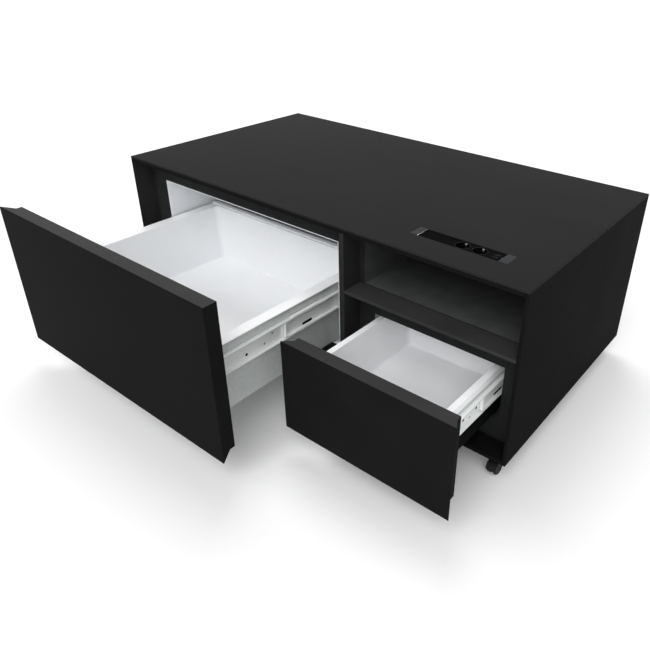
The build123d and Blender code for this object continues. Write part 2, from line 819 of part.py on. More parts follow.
hood_inner = wheel_radius + hood_gap
hood_outer = hood_inner + hood_thick
boss_top = plate_under - swivel_gap
for (x, y), corner in zip(corners, names):
    wheel_y = y - caster_trail
    with BuildPart() as fork:
        with BuildSketch(side_plane(x - wheel_width / 2)):
            with Locations((wheel_y, wheel_radius)):
                Circle(hood_outer)
                Circle(hood_inner, mode=Mode.SUBTRACT)
            rect(wheel_y - hood_outer, wheel_y + hood_outer, wheel_radius - hood_outer, wheel_radius,
                 Mode.SUBTRACT)
        extrude(amount=wheel_width)
        with BuildSketch(side_plane(x - fork_web / 2)):
            with Locations((wheel_y, wheel_radius)):
                Circle(hood_outer)
                Circle(axle_radius + axle_play, mode=Mode.SUBTRACT)
            rect(wheel_y - hood_outer, wheel_y + hood_outer, wheel_radius - hood_outer,
                 wheel_radius - wheel_round, Mode.SUBTRACT)
        extrude(amount=fork_web)
        with BuildSketch(height_plane(wheel_radius + hood_inner)):
            with Locations((x, y)):
                Rectangle(2 * swivel_boss_radius, 2 * swivel_boss_radius)
        extrude(amount=boss_top - wheel_radius - hood_inner)
        with BuildSketch(height_plane(boss_top)):
            with Locations((x, y)):
                Circle(swivel_pin_radius)
        extrude(amount=base - boss_top - swivel_gap)
    keep(fork, "caster_fork_" + corner)
    with BuildPart() as wheels:
        with BuildSketch(side_plane(x - wheel_width / 2)):
            with Locations((wheel_y, wheel_radius)):
                Circle(wheel_radius)
        extrude(amount=wheel_width)
        chamfer(wheels.edges().filter_by(GeomType.CIRCLE), length=wheel_round)
        with BuildSketch(side_plane(x - wheel_web / 2)):
            with Locations((wheel_y, wheel_radius)):
                Circle(wheel_radius + overrun)
                Circle(axle_radius, mode=Mode.SUBTRACT)
        extrude(amount=wheel_web, mode=Mode.SUBTRACT)
    keep(wheels, "caster_wheels_" + corner)

# Machine room: compressor on rubber feet, condenser and fan facing the grille, control box, lines
compressor_x = store_left + compressor_place_x
compressor_y = back_inner - compressor_place_y
plate_z = deck + foot_height
shell_low = plate_z + foot_plate_thick
shell_high = shell_low + compressor_height
suction_x = compressor_x - stub_share * compressor_radius
discharge_x = compressor_x + stub_share * compressor_radius
with BuildPart() as compressor:
    with BuildSketch(Plane.XZ.offset(-compressor_y)):
        with BuildLine():
            Line((compressor_x, shell_low), (compressor_x + compressor_radius - compressor_skirt, shell_low))
            Line((compressor_x + compressor_radius - compressor_skirt, shell_low),
                 (compressor_x + compressor_radius, shell_low + compressor_skirt))
            Line((compressor_x + compressor_radius, shell_low + compressor_skirt),
                 (compressor_x + compressor_radius, shell_high - compressor_dome))
            Polyline((compressor_x + compressor_radius, shell_high - compressor_dome),
                     (compressor_x + compressor_radius - compressor_shoulder, shell_high - compressor_crown),
                     (compressor_x, shell_high), (compressor_x, shell_low))
        make_face()
    revolve(axis=Axis((compressor_x, compressor_y, 0), (0, 0, 1)))
    with BuildSketch(height_plane(plate_z)):
        with Locations((compressor_x, compressor_y)):
            RectangleRounded(foot_plate_width, foot_plate_depth, foot_radius)
    extrude(amount=foot_plate_thick)
    with BuildSketch(height_plane(shell_high - stub_height)):
        with Locations((suction_x, compressor_y), (discharge_x, compressor_y)):
            Circle(stub_radius)
    extrude(amount=stub_height)
keep(compressor, "compressor")

with BuildPart() as compressor_feet:
    with BuildSketch(height_plane(deck)):
        with Locations((compressor_x, compressor_y)):
            with GridLocations(foot_plate_width - 2 * foot_radius, foot_plate_depth - 2 * foot_radius, 2, 2):
                RegularPolygon(foot_radius, foot_sides)
    extrude(amount=foot_height)
keep(compressor_feet, "compressor_feet")

fan_x = store_right - fan_place
fan_z = deck + machine_foot + grille_height / 2
fan_back = back_inner - fan_to_back
fan_front = fan_back - fan_depth
web_front = fan_front + fan_web
with BuildPart() as fan_shroud:
    with BuildSketch(depth_plane(fan_back)):
        with Locations((fan_x, fan_z)):
            Rectangle(fan_size, fan_size)
            Circle(fan_bore / 2, mode=Mode.SUBTRACT)
    extrude(amount=fan_depth)
    with BuildSketch(depth_plane(web_front)):
        with Locations((fan_x, fan_z)):
            Circle(fan_hub / 2)
            Rectangle(fan_size - fan_strut, fan_strut)
            Rectangle(fan_strut, fan_size - fan_strut)
            Circle(fan_pin + axle_play, mode=Mode.SUBTRACT)
    extrude(amount=fan_web)
    with BuildSketch(height_plane(deck)):
        rect(fan_x - fan_size / 2, fan_x + fan_size / 2, fan_front, fan_back)
    extrude(amount=fan_z - fan_size / 2 - deck)
keep(fan_shroud, "fan_shroud")

rotor_front = web_front + fan_web / 2
rotor_back = fan_back - fan_web / 2
with BuildPart() as fan_rotor:
    with BuildSketch(depth_plane(rotor_back)):
        with Locations((fan_x, fan_z)):
            Circle(fan_hub / 2)
    extrude(amount=rotor_back - rotor_front)
    blade_length = fan_bore / 2 - fan_tip_gap
    blade_y = (rotor_front + rotor_back) / 2
    for step in range(fan_blades):
        turn = full_turn * step / fan_blades
        blade_plane = Plane(origin=(fan_x, blade_y, fan_z), x_dir=(0, 1, 0),
                            z_dir=(cos(radians(turn)), 0, sin(radians(turn))))
        with BuildSketch(blade_plane):
            Rectangle(fan_blade_thick, fan_blade_chord, rotation=fan_blade_pitch)
        extrude(amount=blade_length)
    with BuildSketch(depth_plane(rotor_front)):
        with Locations((fan_x, fan_z)):
            Circle(fan_pin)
    extrude(amount=fan_web)
keep(fan_rotor, "fan_rotor")

condenser_back = fan_front - fan_to_condenser
condenser_left = fan_x - condenser_width / 2
condenser_right = condenser_left + condenser_width
condenser_y = condenser_back - condenser_depth / 2
with BuildPart() as condenser:
    fin_pitch = (condenser_width - condenser_fin) / (condenser_fins - 1)
    with BuildSketch(height_plane(deck)):
        rect(condenser_left, condenser_right, condenser_y - condenser_tube / 2,
             condenser_y + condenser_tube / 2)
        for step in range(condenser_fins):
            x = condenser_left + step * fin_pitch
            rect(x, x + condenser_fin, condenser_back - condenser_depth, condenser_back)
    extrude(amount=condenser_height)
keep(condenser, "condenser")

with BuildPart() as control_box:
    with BuildSketch(depth_plane(back_inner)):
        with Locations((store_left + control_place_x, shelf_top + control_place_z)):
            RectangleRounded(control_width, control_height, control_round)
    extrude(amount=control_depth)
keep(control_box, "control_box")

# Refrigerant lines: suction from the evaporator through foam and divider, discharge to the condenser
line_top = shell_high + loop_rise
inlet_fin_x = condenser_left + fin_pitch / 2
with BuildPart() as refrigerant_lines:
    with BuildLine() as suction_path:
        FilletPolyline((evaporator_right, line_y, line_z), (suction_x, line_y, line_z),
                       (suction_x, compressor_y, line_z), (suction_x, compressor_y, shell_high),
                       radius=line_bend)
    with BuildSketch(side_plane(evaporator_right)):
        with Locations((line_y, line_z)):
            RegularPolygon(line_radius, line_sides)
    sweep(path=suction_path.wires()[0])
    with BuildLine() as discharge_path:
        FilletPolyline((discharge_x, compressor_y, shell_high), (discharge_x, compressor_y, line_top),
                       (inlet_fin_x, compressor_y, line_top), (inlet_fin_x, condenser_y, line_top),
                       (inlet_fin_x, condenser_y, deck + condenser_height), radius=line_bend)
    with BuildSketch(height_plane(shell_high)):
        with Locations((discharge_x, compressor_y)):
            RegularPolygon(line_radius, line_sides)
    sweep(path=discharge_path.wires()[0])
keep(refrigerant_lines, "refrigerant_lines")
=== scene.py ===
"""Looks of the refrigerator coffee table.

The camera stands where the photograph's did. Every node of the frame gets its finish, the pieces whose
edges catch the light are rounded over, the slides are rolled with round bends, and the small parts are
added: balls, screws, stops, bellows, treads, and the rings and springs of the sockets.
"""

import json
from math import atan2, copysign, cos, radians, sin, tau

import bmesh
import bpy
from bmesh.types import BMEdge, BMVert
from mathutils import Matrix, Vector


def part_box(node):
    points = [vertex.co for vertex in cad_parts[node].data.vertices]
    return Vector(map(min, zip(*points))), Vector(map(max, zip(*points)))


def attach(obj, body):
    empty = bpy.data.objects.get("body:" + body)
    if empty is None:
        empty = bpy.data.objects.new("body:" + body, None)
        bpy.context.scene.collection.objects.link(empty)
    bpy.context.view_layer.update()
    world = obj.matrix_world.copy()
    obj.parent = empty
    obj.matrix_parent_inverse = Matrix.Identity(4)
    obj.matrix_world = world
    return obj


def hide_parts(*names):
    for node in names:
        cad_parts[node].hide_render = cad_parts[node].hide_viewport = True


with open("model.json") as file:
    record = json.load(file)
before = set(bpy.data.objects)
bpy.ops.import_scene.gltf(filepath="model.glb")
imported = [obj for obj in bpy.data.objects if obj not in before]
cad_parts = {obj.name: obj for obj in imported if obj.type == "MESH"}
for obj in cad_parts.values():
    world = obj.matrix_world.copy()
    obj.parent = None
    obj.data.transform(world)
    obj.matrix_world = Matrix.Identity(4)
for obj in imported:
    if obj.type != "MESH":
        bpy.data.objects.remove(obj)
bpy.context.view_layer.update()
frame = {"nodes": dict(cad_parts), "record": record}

# Sizes are in millimetres until they are multiplied by this
MM = 0.001

# Two places nearer than this are taken as one, and a hair is the least that counts
close_by = 1 * MM
hair = 0.1 * MM

# A face looks along an axis where its normal's part on that axis is past this
facing = 0.9

# Camera, solved from the straight edges of the case
frame_px = 650
focal_px = 643.855
centre_px = (391.001, 294.426)
sensor_mm = 36
camera_place = (1.076794, -1.174685, 1.101594)
camera_right = (0.7956, 0.6054, 0.0220)
camera_down = (0.3122, -0.3786, -0.8713)
camera_ahead = (-0.5191, 0.7001, -0.4903)


def linear(code):
    """Linear colour of an sRGB hex code."""
    channels = [int(code[place:place + 2], 16) / 255 for place in (1, 3, 5)]
    return [c / 12.92 if c <= 0.04045 else ((c + 0.055) / 1.055) ** 2.4 for c in channels] + [1.0]


def per(width):
    """Texture scale at which one feature is this many millimetres wide."""
    return 1 / (width * MM)


def blank(name):
    """New material with an empty node tree."""
    made = bpy.data.materials.new(name)
    made.use_nodes = True
    made.node_tree.nodes.clear()
    return made, made.node_tree


def add(tree, kind, inputs=None, stops=None, **settings):
    """Add a node with its settings. An input is a constant, or the output that feeds it."""
    made = tree.nodes.new("ShaderNode" + kind)
    for key, value in settings.items():
        setattr(made, key, value)
    for key, value in (inputs or {}).items():
        if isinstance(value, bpy.types.NodeSocket):
            tree.links.new(value, made.inputs[key])
        else:
            made.inputs[key].default_value = value
    for stop, (place, code) in zip(made.color_ramp.elements, stops) if stops else ():
        stop.position = place
        stop.color = linear(code)
    return made


def surface(tree, inputs):
    """Feed the surface shader and join it to the output."""
    shader = add(tree, "BsdfPrincipled", inputs)
    add(tree, "OutputMaterial", {"Surface": shader.outputs["BSDF"]})


# A noise pattern's values gather round its middle, so a ramp over it runs between two of these
narrow_span = (0.35, 0.65)
wide_span = (0.3, 0.7)


def lacquer(name, deep, light, smooth, rough, index):
    """Sprayed lacquer: a slight orange peel breaks the reflections, and hands leave hazy spots."""
    haze_width, peel_width, peel_depth = 110, 3, 0.05
    made, tree = blank(name)
    place = add(tree, "TexCoord").outputs["Object"]
    haze = add(tree, "TexNoise", {"Vector": place, "Scale": per(haze_width),
                                  "Detail": 3.0}).outputs["Fac"]
    peel = add(tree, "TexNoise", {"Vector": place, "Scale": per(peel_width),
                                  "Detail": 1.0}).outputs["Fac"]
    colour = add(tree, "ValToRGB", {"Fac": haze}, zip(narrow_span, (deep, light)))
    gloss = add(tree, "MapRange", {"Value": haze, "From Min": narrow_span[0], "From Max": narrow_span[1],
                                   "To Min": smooth, "To Max": rough})
    bump = add(tree, "Bump", {"Height": peel, "Strength": 0.2, "Distance": peel_depth * MM})
    surface(tree, {"Base Color": colour.outputs["Color"], "Roughness": gloss.outputs["Result"],
                   "Normal": bump.outputs["Normal"], "IOR": index})
    return made


def powder_coat(name, deep, light, rough, index):
    """Powder-coated steel: a fine pebble and a dry sheen. Real pebbles are half a millimetre wide and
    are drawn four times that, so that they show."""
    pebble_width, pebble_depth, tone_width = 2, 0.1, 40
    made, tree = blank(name)
    place = add(tree, "TexCoord").outputs["Object"]
    pebble = add(tree, "TexVoronoi", {"Vector": place, "Scale": per(pebble_width)},
                 feature="SMOOTH_F1").outputs["Distance"]
    tone = add(tree, "TexNoise", {"Vector": place, "Scale": per(tone_width),
                                  "Detail": 4.0}).outputs["Fac"]
    colour = add(tree, "ValToRGB", {"Fac": tone}, zip(narrow_span, (deep, light)))
    bump = add(tree, "Bump", {"Height": pebble, "Strength": 0.25, "Distance": pebble_depth * MM})
    surface(tree, {"Base Color": colour.outputs["Color"], "Roughness": rough,
                   "Normal": bump.outputs["Normal"], "IOR": index})
    return made


def moulded(name, deep, light, grain, depth, smooth, rough, index):
    """Moulded plastic: the mould's spark grain, a faint flow tone and an even satin gloss. The real
    grain is a tenth of a millimetre wide and is drawn over a millimetre wide, so that it shows."""
    flow_width = 120
    made, tree = blank(name)
    place = add(tree, "TexCoord").outputs["Object"]
    flow = add(tree, "TexNoise", {"Vector": place, "Scale": per(flow_width),
                                  "Detail": 2.0}).outputs["Fac"]
    spark = add(tree, "TexNoise", {"Vector": place, "Scale": per(grain), "Detail": 2.0}).outputs["Fac"]
    colour = add(tree, "ValToRGB", {"Fac": flow}, zip(narrow_span, (deep, light)))
    gloss = add(tree, "MapRange", {"Value": spark, "From Min": wide_span[0], "From Max": wide_span[1],
                                   "To Min": smooth, "To Max": rough})
    bump = add(tree, "Bump", {"Height": spark, "Strength": 0.3, "Distance": depth * MM})
    surface(tree, {"Base Color": colour.outputs["Color"], "Roughness": gloss.outputs["Result"],
                   "Normal": bump.outputs["Normal"], "IOR": index})
    return made


def drawn_metal(name, deep, light, grain, smooth, rough, metal=1.0, streak=(1, 0.02, 1)):
    """Cold-rolled or drawn metal: lines run along the piece and stretch its highlights. The real lines
    are a few hundredths of a millimetre wide and are drawn about a millimetre wide, so that they show."""
    patina_width, line_depth = 18, 0.02
    made, tree = blank(name)
    place = add(tree, "TexCoord").outputs["Object"]
    along = add(tree, "Mapping", {"Vector": place, "Scale": streak}).outputs["Vector"]
    lines = add(tree, "TexNoise", {"Vector": along, "Scale": per(grain), "Detail": 3.0}).outputs["Fac"]
    patina = add(tree, "TexNoise", {"Vector": place, "Scale": per(patina_width),
                                    "Detail": 4.0}).outputs["Fac"]
    colour = add(tree, "ValToRGB", {"Fac": patina}, zip(wide_span, (deep, light)))
    gloss = add(tree, "MapRange", {"Value": lines, "From Min": wide_span[0], "From Max": wide_span[1],
                                   "To Min": smooth, "To Max": rough})
    bump = add(tree, "Bump", {"Height": lines, "Strength": 0.2, "Distance": line_depth * MM})
    surface(tree, {"Base Color": colour.outputs["Color"], "Metallic": metal,
                   "Roughness": gloss.outputs["Result"], "Normal": bump.outputs["Normal"]})
    return made


def spangled(name, deep, light, flake, smooth, rough):
    """Hot-dip galvanised sheet: zinc crystals some millimetres wide, each with its own grey, gone dull.
    The dull zinc carries an oxide skin, so it counts as metal only in part."""
    made, tree = blank(name)
    place = add(tree, "TexCoord").outputs["Object"]
    crystal = add(tree, "TexVoronoi", {"Vector": place, "Scale": per(flake)}).outputs["Color"]
    grey = add(tree, "RGBToBW", {"Color": crystal}).outputs["Val"]
    colour = add(tree, "ValToRGB", {"Fac": grey}, ((0.2, deep), (0.8, light)))
    gloss = add(tree, "MapRange", {"Value": grey, "To Min": smooth, "To Max": rough})
    surface(tree, {"Base Color": colour.outputs["Color"], "Metallic": 0.3,
                   "Roughness": gloss.outputs["Result"]})
    return made


def soft_rubber(name, deep, light, rough):
    """Rubber: matt, with dust in a shallow grain."""
    dust_width, grain_depth = 5, 0.1
    made, tree = blank(name)
    place = add(tree, "TexCoord").outputs["Object"]
    dust = add(tree, "TexNoise", {"Vector": place, "Scale": per(dust_width),
                                  "Detail": 5.0}).outputs["Fac"]
    colour = add(tree, "ValToRGB", {"Fac": dust}, ((0.35, deep), (0.7, light)))
    bump = add(tree, "Bump", {"Height": dust, "Strength": 0.3, "Distance": grain_depth * MM})
    surface(tree, {"Base Color": colour.outputs["Color"], "Roughness": rough,
                   "Normal": bump.outputs["Normal"], "IOR": 1.52, "Specular IOR Level": 0.3})
    return made


def foamed(name, deep, light, cell):
    """Poured polyurethane foam: open cells and a dry, yellowish skin. The real cells are under half a
    millimetre wide and are drawn larger, so that they show."""
    cell_depth = 0.5
    made, tree = blank(name)
    place = add(tree, "TexCoord").outputs["Object"]
    cells = add(tree, "TexVoronoi", {"Vector": place, "Scale": per(cell)}).outputs["Distance"]
    colour = add(tree, "ValToRGB", {"Fac": cells}, ((0.1, light), (0.7, deep)))
    bump = add(tree, "Bump", {"Height": cells, "Strength": 0.6, "Distance": cell_depth * MM})
    surface(tree, {"Base Color": colour.outputs["Color"], "Roughness": 0.95,
                   "Normal": bump.outputs["Normal"], "IOR": 1.5, "Specular IOR Level": 0.2})
    return made


def backed_glass(name, deep, light, smooth, rough, index):
    """Tempered glass painted black behind: smooth, with faint wiping marks in its gloss."""
    mark_width, wiping = 160, {"Scale": (0.4, 1, 1), "Rotation": (0, 0, 0.4)}
    made, tree = blank(name)
    place = add(tree, "TexCoord").outputs["Object"]
    wiped = add(tree, "Mapping", {"Vector": place} | wiping).outputs["Vector"]
    marks = add(tree, "TexNoise", {"Vector": wiped, "Scale": per(mark_width),
                                   "Detail": 5.0}).outputs["Fac"]
    colour = add(tree, "ValToRGB", {"Fac": marks}, zip(narrow_span, (deep, light)))
    gloss = add(tree, "MapRange", {"Value": marks, "From Min": narrow_span[0],
                                   "From Max": narrow_span[1], "To Min": smooth, "To Max": rough})
    surface(tree, {"Base Color": colour.outputs["Color"], "Roughness": gloss.outputs["Result"],
                   "IOR": index})
    return made


# Finishes by the record's slot, each with its darkest and its lightest tone. The photograph's blacks
# hardly mirror the white room, so their index of refraction is matched to that and lies near 1.
finishes = {
    # Tempered glass, painted behind: one deep, even tone over the whole top
    "tinted_glass": backed_glass("back_painted_glass", "#2a2a2a", "#2c2c2c", 0.24, 0.3, 1.03),
    # Fibreboard, sprayed with matt lacquer: sides that stay nearly black
    "black_lacquered_board": lacquer("lacquered_fibreboard", "#171717", "#191919", 0.45, 0.52, 1.027),
    # The same board, sprayed smoother: fronts with a trace of sheen
    "black_drawer_front": lacquer("lacquered_front", "#1a1a1a", "#1c1c1c", 0.36, 0.42, 1.03),
    # Steel, folded and powder-coated: frames of a dry, dark grey
    "black_coated_steel": powder_coat("powder_coated_steel", "#272828", "#2c2d2d", 0.6, 1.1),
    # ABS, moulded: the grille's dull black bars
    "vent_plastic": moulded("abs_grille", "#141414", "#1a1a1a", 1.2, 0.05, 0.5, 0.6, 1.3),
    # Polystyrene, thermoformed: a cool white liner with a soft gloss
    "white_liner_plastic": moulded("thermoformed_hips_liner", "#f2f5f7", "#f5f7f9", 4, 0.02,
                                   0.3, 0.38, 1.4),
    # ABS, moulded: tubs of a clean white, a little glossier
    "white_tub_plastic": moulded("moulded_abs_tub", "#f9fafc", "#fcfdfe", 3, 0.02, 0.28, 0.36, 1.4),
    # Soft PVC, extruded: a dull grey seal
    "gasket_rubber": soft_rubber("pvc_gasket", "#2c2e2f", "#3a3c3d", 0.6),
    # Polyurethane, poured: straw yellow and porous
    "foam": foamed("polyurethane_foam", "#b79f63", "#dccb96", 2.5),
    # Steel, hot-dip galvanised: pale grey spangles without shine
    "galvanised_sheet": spangled("galvanised_steel", "#ccd1cf", "#d5d9d7", 5, 0.42, 0.55),
    # Steel, cold-rolled and zinc-plated: slides that are nearly white, with a faint sheen lengthwise. The
    # plating has a pale passivated skin, so only a quarter of it counts as metal
    "zinc_plated_steel": drawn_metal("zinc_plated_steel", "#f2f4f4", "#f8f9f9", 1.2, 0.3, 0.4, 0.25),
    # Steel, stamped and left bright: ball cages greyer than the slides
    "cage_steel": drawn_metal("bright_cage_steel", "#b8b8b2", "#cfcfc9", 1.5, 0.3, 0.4),
    # Aluminium, as rolled: silver plate and fins with upright lines
    "aluminium": drawn_metal("mill_aluminium", "#c9ccce", "#d9dcdd", 2, 0.35, 0.45, 1.0, (1, 1, 0.03)),
    # Enamel, sprayed and baked: the compressor's glossy black shell
    "compressor_enamel": lacquer("baked_enamel", "#0f0f10", "#17181a", 0.25, 0.35, 1.5),
    # Nitrile rubber, pressed: feet without any shine
    "foot_rubber": soft_rubber("nitrile_foot", "#18191a", "#26282a", 0.8),
    # Copper, drawn: warm red tube, browned in places
    "copper": drawn_metal("drawn_copper", "#a8613c", "#c87f55", 2, 0.25, 0.4),
    # Polycarbonate, moulded: sockets darker than the glass round them
    "socket_plastic": moulded("polycarbonate_socket", "#070708", "#0c0c0d", 1.5, 0.03, 0.45, 0.55, 1.04),
    # Zinc, die-cast and plated black: caps a shade lighter than the glass
    "bright_cap_metal": lacquer("black_plated_zinc_cap", "#303132", "#363739", 0.3, 0.38, 1.1),
    # Steel, stamped and zinc-plated: plates duller than the slides
    "caster_plate_steel": drawn_metal("zinc_plate", "#8f9290", "#a9acab", 1.5, 0.35, 0.5),
    # Nylon, moulded: black forks with a soft gloss
    "caster_plastic": moulded("nylon_caster", "#101010", "#161616", 1.5, 0.05, 0.4, 0.5, 1.3),
}

# Painted light: the inner faces of the side panels and the divider are greyer than the outer ones,
# lightened to stand for light that the shaded recesses lack
painted_light_board_finish = lacquer("board_with_painted_light", "#2b2b2b", "#303030", 0.45, 0.52, 1.1)
# The shelf is painted lighter still, standing for light on it in the shaded niche
painted_light_shelf_finish = lacquer("shelf_with_painted_light", "#353535", "#3a3a3a", 0.45, 0.52, 1.1)
# Painted sheen: the up-facing top faces of the fronts are lighter, standing for the gloss they catch from
# above
top_sheen_finish = lacquer("painted_top_sheen", "#353535", "#393939", 0.36, 0.42, 1.1)
# Steel, powder-coated: the niche's grey is lightened to stand for light that doesn't reach into it
# (painted light)
painted_light_niche_finish = powder_coat("niche_with_painted_light", "#484a49", "#4e504f", 0.6, 1.15)
# Painted shade: black where the small drawer's box shows below its slides, standing for the dark shadow
# there
painted_shade_finish = powder_coat("painted_shade_below_slides", "#111212", "#161717", 0.6, 1.03)
# Bearing steel, ground and polished: balls with a bright point each
ball_finish = drawn_metal("bearing_steel", "#d8dadb", "#eceded", 4, 0.08, 0.14)
# Rubber, moulded on the wheel: a matt black tread
tread_finish = soft_rubber("tread_rubber", "#141414", "#1e1e1e", 0.7)
# Brass, stamped and nickel-plated: contacts with a warm shine
contact_finish = drawn_metal("nickel_contact", "#a89f86", "#c9c2ab", 1, 0.25, 0.35)
# Zinc, die-cast and chrome-plated: a bright line at each cap
bead_finish = drawn_metal("bright_chrome_bead", "#c4c5c6", "#d6d7d8", 0.8, 0.1, 0.2, 1.0, (1, 0.03, 1))
# Nylon, moulded: stops and guide bars of a warm white
nylon_finish = moulded("nylon_stop", "#f0f1f0", "#f6f6f5", 2, 0.03, 0.35, 0.45, 1.4)
# Steel, headed and nickel-plated: screws of a middle grey
screw_finish = drawn_metal("nickel_plated_screw", "#6f7070", "#828383", 1, 0.35, 0.45)
# Polyester, moulded: dark tongues in the charging ports
tongue_finish = moulded("usb_tongue", "#15161a", "#1d1f24", 1.5, 0.03, 0.4, 0.5, 1.4)

own_finishes = {"divider": painted_light_board_finish, "shelf": painted_light_shelf_finish, "niche_box": painted_light_niche_finish,
                "mains_inlet": finishes["vent_plastic"]}
slot_of = {part["node"]: part["material_slot"] for part in frame["record"]["subparts"]}
body_of = {node: body for body, nodes in frame["record"]["behaviour"]["bodies"].items()
           for node in nodes}

for node, shape in frame["nodes"].items():
    shape.data.materials.clear()
    shape.data.materials.append(own_finishes.get(node) or finishes[slot_of[node]])


def only(kind, geometry):
    """The vertices, or the edges, among what an operator gave back."""
    return [part for part in geometry if isinstance(part, kind)]


def block(made, middle, size):
    """Add a block, given its middle and its size in metres."""
    bmesh.ops.create_cube(made, size=1, matrix=Matrix.Translation(middle) @ Matrix.Diagonal((*size, 1)))


def prism(made, outline, travel):
    """Draw an outline out along a straight way, with both ends closed."""
    rim = [made.verts.new(place) for place in outline]
    grown = bmesh.ops.extrude_face_region(made, geom=[made.faces.new(rim)])["geom"]
    bmesh.ops.translate(made, vec=travel, verts=only(BMVert, grown))


def place_piece(made, name, body, slot, finish=None):
    """Turn a finished bmesh into a piece of the object that moves with its body."""
    mesh = bpy.data.meshes.new(name)
    made.to_mesh(mesh)
    made.free()
    mesh.materials.append(finish or finishes[slot])
    piece = bpy.data.objects.new(name, mesh)
    bpy.context.scene.collection.objects.link(piece)
    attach(piece, body)
    return piece


def thicken(piece, thickness):
    """Give an open sheet its thickness, half of it to each side."""
    sheet = piece.modifiers.new("sheet", "SOLIDIFY")
    sheet.thickness = thickness * MM
    sheet.offset = 0


def round_over(piece, width, steps=2, sharper_than=30):
    """Break the sharp edges with a Bevel modifier and keep the flats flat."""
    bevel = piece.modifiers.new("edges", "BEVEL")
    bevel.width = width * MM
    bevel.segments = steps
    bevel.limit_method = "ANGLE"
    bevel.angle_limit = radians(sharper_than)
    bevel.use_clamp_overlap = False
    flats = piece.modifiers.new("flats", "WEIGHTED_NORMAL")
    flats.keep_sharp = True
    flats.weight = 100


def joined_copy(node, soft):
    """A node's triangles joined at their edges, shaded smooth where the piece is moulded."""
    made = bmesh.new()
    made.from_mesh(frame["nodes"][node].data)
    bmesh.ops.remove_doubles(made, verts=made.verts, dist=0.002 * MM)
    for face in made.faces:
        face.smooth = soft
    return made


def rounded(node, width, soft=True):
    """Stand-in for a node with its sharp edges rounded over."""
    piece = place_piece(joined_copy(node, soft), node + "_rounded", body_of[node], slot_of[node],
                        own_finishes.get(node))
    round_over(piece, width)
    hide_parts(node)


def refinish(node, finish, chosen):
    """Give some faces of a rounded node another finish."""
    mesh = bpy.data.objects[node + "_rounded"].data
    mesh.materials.append(finish)
    for face in mesh.polygons:
        if chosen(face):
            face.material_index = 1


# Each piece with the width of its rounding
for node, width in (("top_glass", 0.8), ("side_panel_left", 0.6), ("side_panel_right", 0.6),
                    ("bottom_board", 0.6), ("divider", 0.6), ("shelf", 0.5),
                    ("cold_drawer_front", 0.7), ("store_drawer_front", 0.7), ("door_panel", 2.0),
                    ("cold_frame", 0.4), ("bay_frame", 0.4), ("niche_box", 0.8), ("cold_liner", 1.2),
                    ("cold_drawer_tub", 1.0), ("store_drawer_tub", 0.8), ("strip_caps", 0.2),
                    ("vent_grille", 0.6), ("mains_inlet", 0.6), ("back_panel", 0.5),
                    ("caster_fork_front_left", 0.6), ("caster_fork_front_right", 0.6),
                    ("caster_fork_rear_left", 0.6), ("caster_fork_rear_right", 0.6),
                    ("compressor", 0.8), ("fan_rotor", 0.3), ("fan_shroud", 0.8)):
    rounded(node, width)

# Folded sheet keeps its flats flat
for node, width in (("cold_drawer_box", 0.35), ("store_drawer_box", 0.35), ("strip_face", 0.3)):
    rounded(node, width, soft=False)

# The drawer fronts' up-facing top faces carry that painted sheen, a shade lighter than their faces
for node in ("cold_drawer_front", "store_drawer_front"):
    refinish(node, top_sheen_finish, lambda face: face.normal.z > facing)

# The side panels are painted lighter inside, standing for light in the shaded recesses
refinish("side_panel_left", painted_light_board_finish, lambda face: face.normal.x > facing)
refinish("side_panel_right", painted_light_board_finish, lambda face: face.normal.x < -facing)

# The niche's flange keeps the dark coat of the frames beside it; only the inside carries the painted
# light
niche_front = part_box("niche_box")[0].y
refinish("niche_box", finishes["black_coated_steel"],
         lambda face: face.normal.y < -facing and face.center.y < niche_front + close_by)

# The three pins in the mains inlet
low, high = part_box("mains_inlet")
inlet_middle = (low + high) / 2
well_depth = 20
pins_reach = 8.2
pins_rise = 2.7
refinish("mains_inlet", contact_finish,
         lambda face: abs(face.center.x - inlet_middle.x) < pins_reach * MM
         and abs(face.center.z - inlet_middle.z) < pins_rise * MM
         and face.center.y > high.y - well_depth * MM + hair)

# Below its slides the small drawer's box is painted black, as painted shade where only shadow shows
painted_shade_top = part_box("store_slide_drawer")[0].z
store_box = bpy.data.objects["store_drawer_box_rounded"].data
made = bmesh.new()
made.from_mesh(store_box)
bmesh.ops.bisect_plane(made, geom=made.verts[:] + made.edges[:] + made.faces[:],
                       plane_co=(0, 0, painted_shade_top), plane_no=(0, 0, 1))
made.to_mesh(store_box)
made.free()
refinish("store_drawer_box", painted_shade_finish, lambda face: face.center.z < painted_shade_top)

# The back panel lies a little in from the case's edges, so that its screw heads don't stand out
low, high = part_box("back_panel")
panel_inset = 1.0
for vert in bpy.data.objects["back_panel_rounded"].data.vertices:
    if vert.co.y > high.y - hair:
        vert.co.y -= panel_inset * MM

# Galvanised floor of the small drawer's bay, its edges folded up against the walls
low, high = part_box("bay_sheet")
floor_inset = 1.6
floor_fold = 12
floor_sheet = 0.8
floor_lift = 0.5
made = bmesh.new()
bmesh.ops.create_grid(made, x_segments=1, y_segments=1, size=0.5, matrix=Matrix.Translation(
    ((low.x + high.x) / 2, (low.y + high.y) / 2, low.z + floor_lift * MM)) @ Matrix.Diagonal(
    (high.x - low.x - 2 * floor_inset * MM, high.y - low.y - 2 * floor_inset * MM, 1, 1)))
sides = [edge for edge in made.edges if abs(edge.verts[0].co.x - edge.verts[1].co.x) < close_by]
grown = bmesh.ops.extrude_edge_only(made, edges=sides)["geom"]
bmesh.ops.translate(made, vec=(0, 0, floor_fold * MM), verts=only(BMVert, grown))
bmesh.ops.recalc_face_normals(made, faces=made.faces)
thicken(place_piece(made, "bay_floor_sheet", body_of["bay_sheet"], "galvanised_sheet"), floor_sheet)

